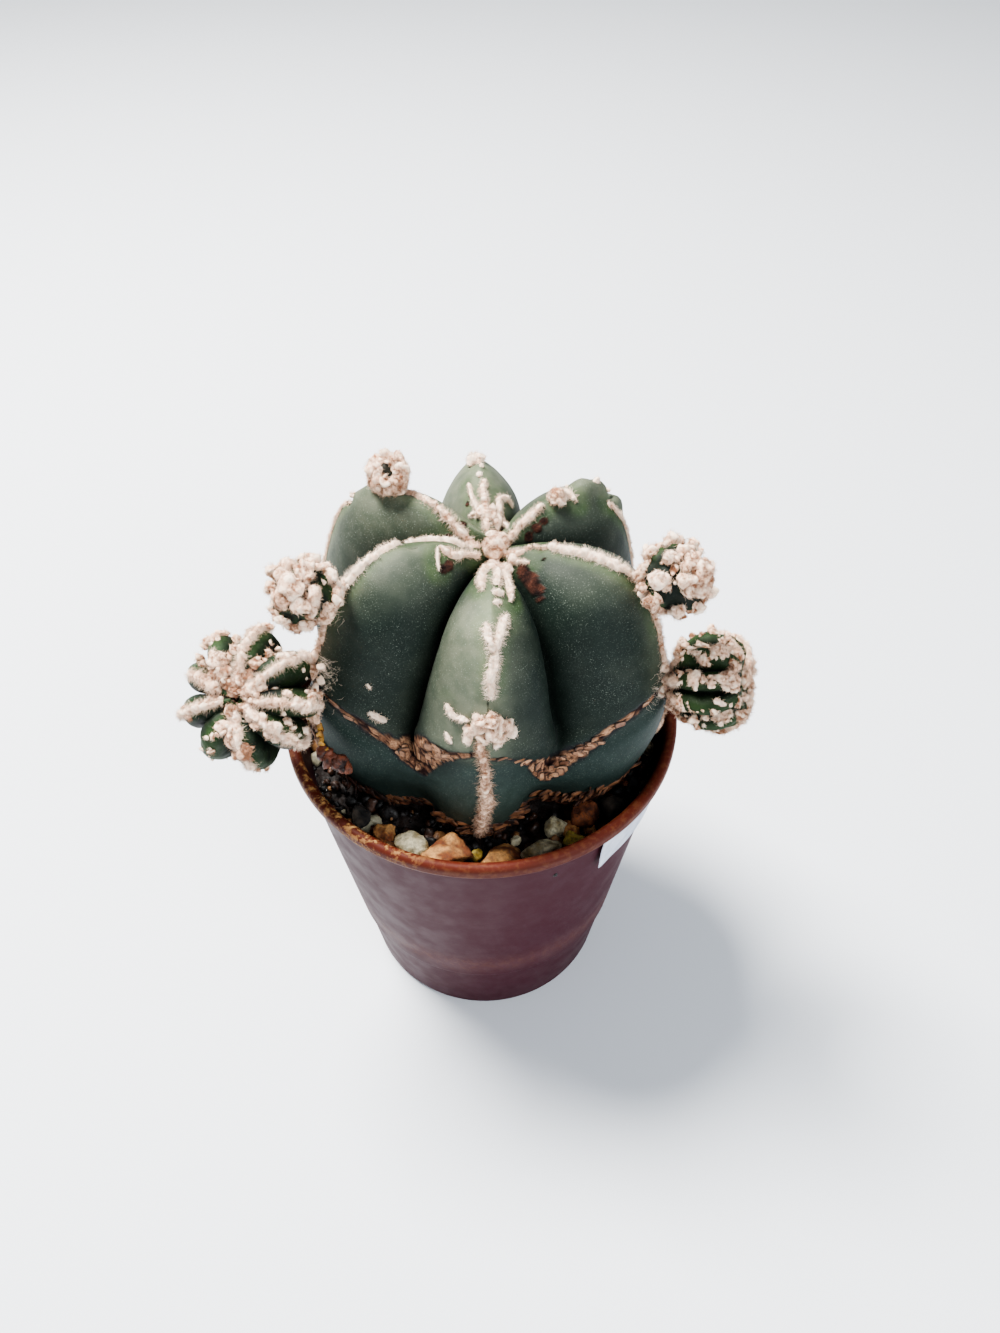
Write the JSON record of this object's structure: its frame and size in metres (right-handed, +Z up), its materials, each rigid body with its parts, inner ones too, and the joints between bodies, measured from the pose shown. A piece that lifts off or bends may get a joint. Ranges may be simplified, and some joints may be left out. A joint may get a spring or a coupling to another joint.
{
  "type": "potted bishop's cap cactus",
  "caption": "Squat ribbed cactus with deep furrows, woolly crests and woolly offsets, growing in a small round tapered plastic nursery pot with gravel on the soil.",
  "frame": {"origin": "centre of the pot's underside", "axes": "+Z up, -Y towards the plant's front, +X to its right seen from the front"},
  "size_m": [0.0708, 0.055, 0.0914],
  "materials": {
    "pot_plastic": "smooth reddish-brown plastic, satin, with a dusty mineral bloom",
    "potting_mix": "very dark damp peaty mix with grit",
    "stem_skin": "waxy dark grey-green skin with a fine pale bloom and a cracked corky seam",
    "offset_skin": "waxy green skin with thick woolly areoles along the ribs",
    "offset_wool": "dense cream felt over green tubercles",
    "wool": "dense cream-pink matted felt",
    "sticker_paper": "plain white paper sticker",
    "stone_tan": "rough tan gravel",
    "stone_pale": "rough pale gravel",
    "stone_brown": "rough brown gravel",
    "stone_dark": "rough near-black gravel",
    "stone_yellow": "rough yellow gravel"
  },
  "bodies": {
    "root": {"areole_bud_back_right": "offset_wool", "offset_back_left_bud": "offset_wool", "offset_left_lower": "offset_skin", "offset_left_upper": "offset_wool", "offset_right_lower": "offset_skin", "offset_right_upper": "offset_wool", "pot": "pot_plastic", "potting_mix": "potting_mix", "price_sticker": "sticker_paper", "stem": "stem_skin", "stone_brown_12": "stone_brown", "stone_brown_16": "stone_brown", "stone_brown_8": "stone_brown", "stone_dark_11": "stone_dark", "stone_dark_14": "stone_dark", "stone_dark_9": "stone_dark", "stone_pale_10": "stone_pale", "stone_pale_15": "stone_pale", "stone_pale_2": "stone_pale", "stone_pale_5": "stone_pale", "stone_pale_6": "stone_pale", "stone_tan_1": "stone_tan", "stone_tan_13": "stone_tan", "stone_tan_17": "stone_tan", "stone_tan_3": "stone_tan", "stone_tan_4": "stone_tan", "stone_yellow_7": "stone_yellow", "wool_back_crown": "wool", "wool_back_left_crown": "wool", "wool_back_left_side": "wool", "wool_back_right_crown": "wool", "wool_back_right_side": "wool", "wool_back_side": "wool", "wool_crown_tuft": "wool", "wool_front_areole": "wool", "wool_front_crown": "wool", "wool_front_left_crown": "wool", "wool_front_left_side": "wool", "wool_front_left_upper": "wool", "wool_front_lower": "wool", "wool_front_right_crown": "wool", "wool_front_right_side": "wool", "wool_front_upper": "wool"}
  },
  "joints": []
}
